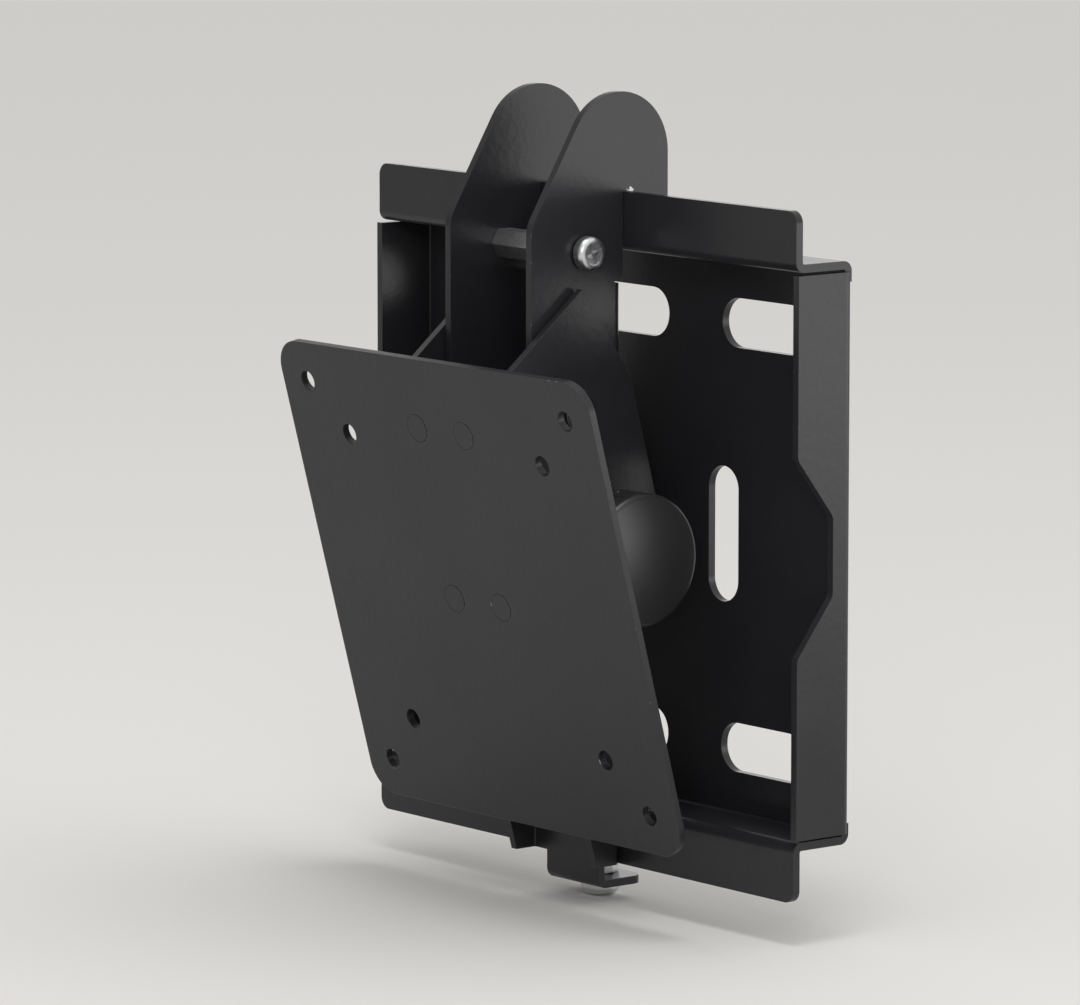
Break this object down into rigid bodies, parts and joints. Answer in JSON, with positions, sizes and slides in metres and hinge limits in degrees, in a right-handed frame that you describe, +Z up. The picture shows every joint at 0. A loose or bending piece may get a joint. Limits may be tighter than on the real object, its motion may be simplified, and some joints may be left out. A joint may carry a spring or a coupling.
{
  "type": "tilting tv wall bracket",
  "caption": "Folded steel wall plate with a hook-on channel bracket; a screen plate tilts on a friction pivot clamped by a round hand knob.",
  "frame": {"origin": "middle of the wall plate's back face, on the wall", "axes": "+X to the right for someone facing the wall, +Y into the wall, +Z up"},
  "size_m": [0.162, 0.0649, 0.1986],
  "materials": {
    "plate_coat": "satin black powder coat",
    "bracket_coat": "satin black powder coat",
    "frame_coat": "satin black powder coat",
    "screen_plate_coat": "satin black powder coat",
    "zinc_plate": "bright zinc plate",
    "black_zinc": "black zinc plate",
    "pivot_steel": "bright zinc plate",
    "spring_steel": "oiled spring steel",
    "rivet_black": "satin black powder coat",
    "nylon": "moulded nylon",
    "knob_plastic": "fine satin moulding",
    "insert_brass": "turned"
  },
  "bodies": {
    "wall_unit": {"wall_plate": "plate_coat", "hook_bracket": "bracket_coat", "tie_spacer": "zinc_plate", "tie_washers": "black_zinc", "tie_screws": "zinc_plate", "lock_nut": "zinc_plate", "lock_screw": "zinc_plate", "pivot_spacer": "pivot_steel", "friction_washer_left": "nylon", "friction_washer_right": "nylon"},
    "tilt_head": {"tilt_frame": "frame_coat", "screen_plate": "screen_plate_coat", "plate_rivets": "rivet_black", "pivot_bolt": "pivot_steel", "clamp_washer": "pivot_steel", "disc_spring": "spring_steel", "stop_pin": "pivot_steel", "stop_clip": "spring_steel"},
    "hand_knob": {"knob": "knob_plastic", "knob_insert": "insert_brass"}
  },
  "joints": [
    {"name": "tilt", "type": "hinge", "parent": "wall_unit", "child": "tilt_head", "pos_m": [0, -0.0282, -0.004], "axis": [1, 0, 0], "range_deg": [-15, 0]},
    {"name": "knob_turn", "type": "hinge", "parent": "tilt_head", "child": "hand_knob", "pos_m": [0, -0.0282, -0.004], "axis": [1, 0, 0], "range_deg": [0, 360]}
  ]
}
